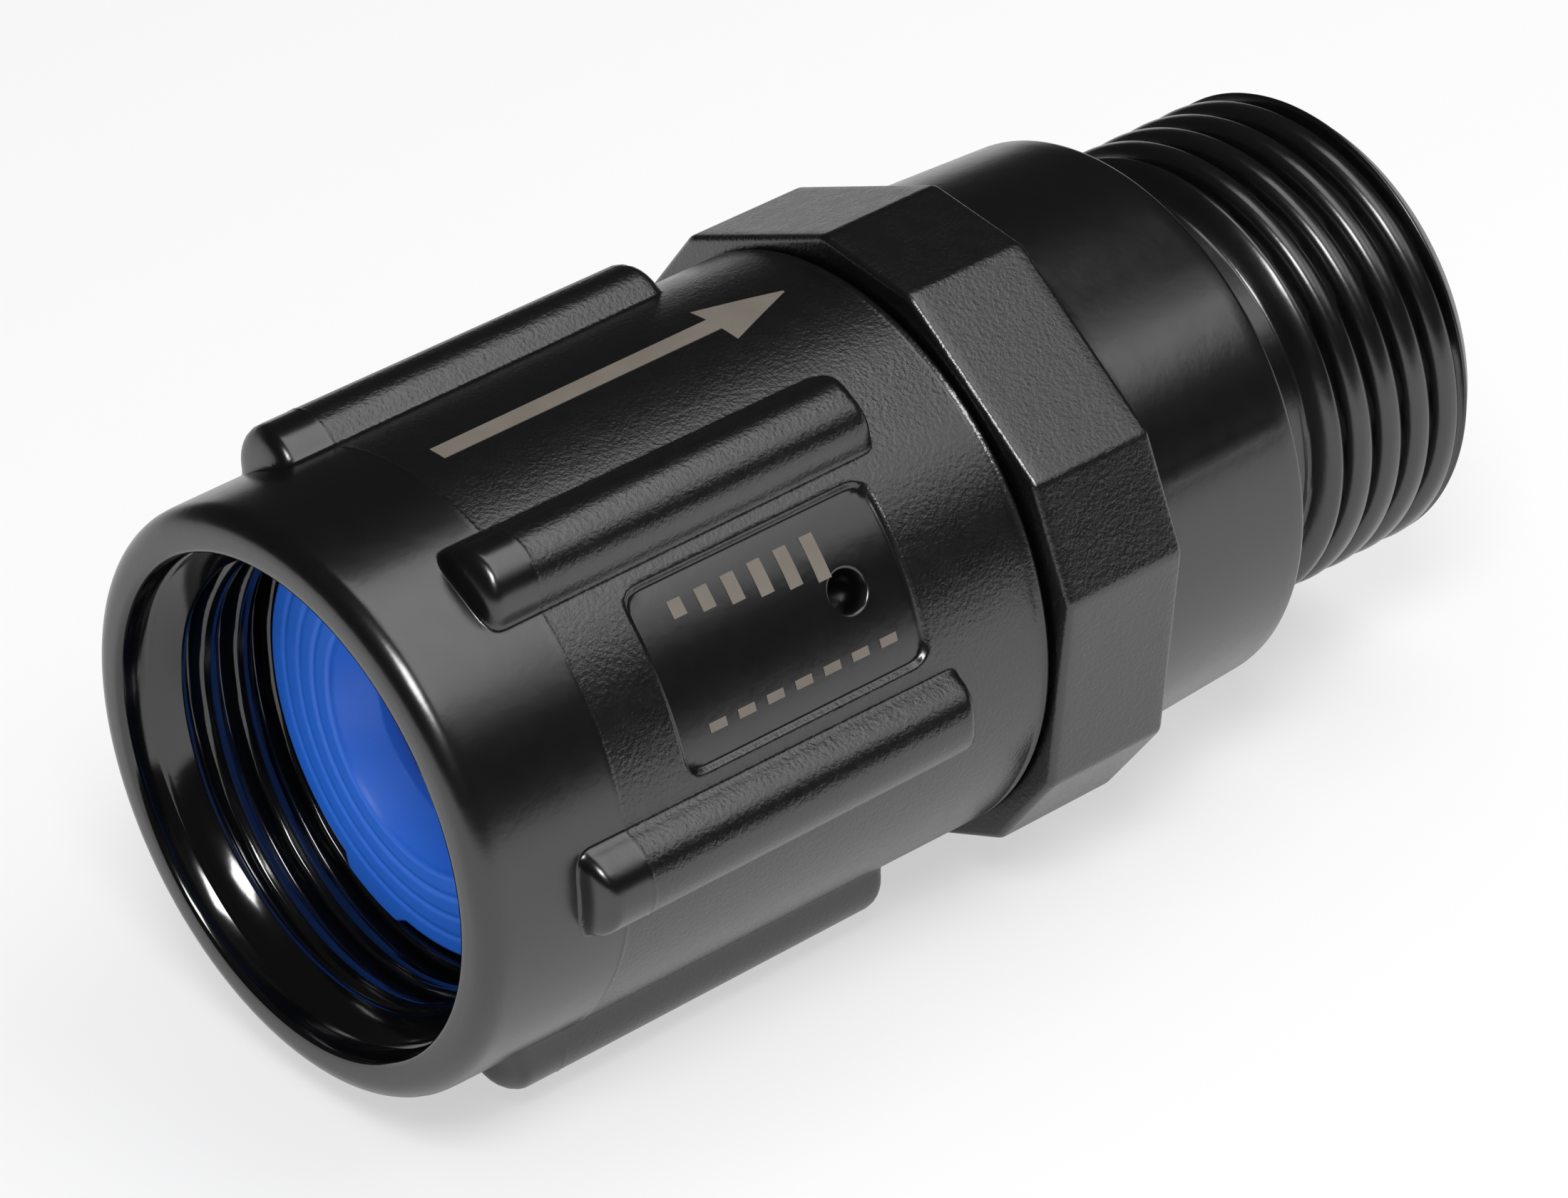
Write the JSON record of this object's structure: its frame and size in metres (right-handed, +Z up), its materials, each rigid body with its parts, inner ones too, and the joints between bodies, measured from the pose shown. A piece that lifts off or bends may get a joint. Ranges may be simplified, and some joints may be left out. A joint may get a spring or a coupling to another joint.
{
  "type": "drip irrigation pressure regulator",
  "caption": "Inline pressure regulator for drip irrigation: ribbed inlet shell with female hose thread and blue washer, wrench flange, male hose thread, and a sprung hollow plunger inside.",
  "frame": {"origin": "centre of the inlet rim, in the plane of the rim's face, on the water way's axis", "axes": "+X along the water way from inlet to outlet, +Z up as the part lies on two grip ribs and the wrench flange"},
  "size_m": [0.0732, 0.037, 0.0364],
  "materials": {
    "housing_plastic": "black moulded plastic with a fine leathery grain",
    "washer_rubber": "blue soft washer, semi-gloss",
    "inner_plastic": "smooth black moulded plastic",
    "seal_rubber": "black seal rubber",
    "stainless": "drawn stainless wire and sheet"
  },
  "bodies": {
    "housing": {"inlet_housing": "housing_plastic", "outlet_housing": "housing_plastic", "hose_washer": "washer_rubber", "seat_carrier": "inner_plastic", "seat_disc": "seal_rubber", "seat_screw": "stainless", "stem_seal": "seal_rubber", "seal_retainer": "inner_plastic", "spring": "stainless"},
    "plunger": {"plunger": "inner_plastic", "piston_seal": "seal_rubber", "spring_washer": "stainless"}
  },
  "joints": [
    {"name": "plunger_slide", "type": "slide", "parent": "housing", "child": "plunger", "axis": [-1, 0, 0], "range_m": [0, 0.0025], "stiffness_N_per_m": 5900, "deforming": ["spring"]}
  ]
}
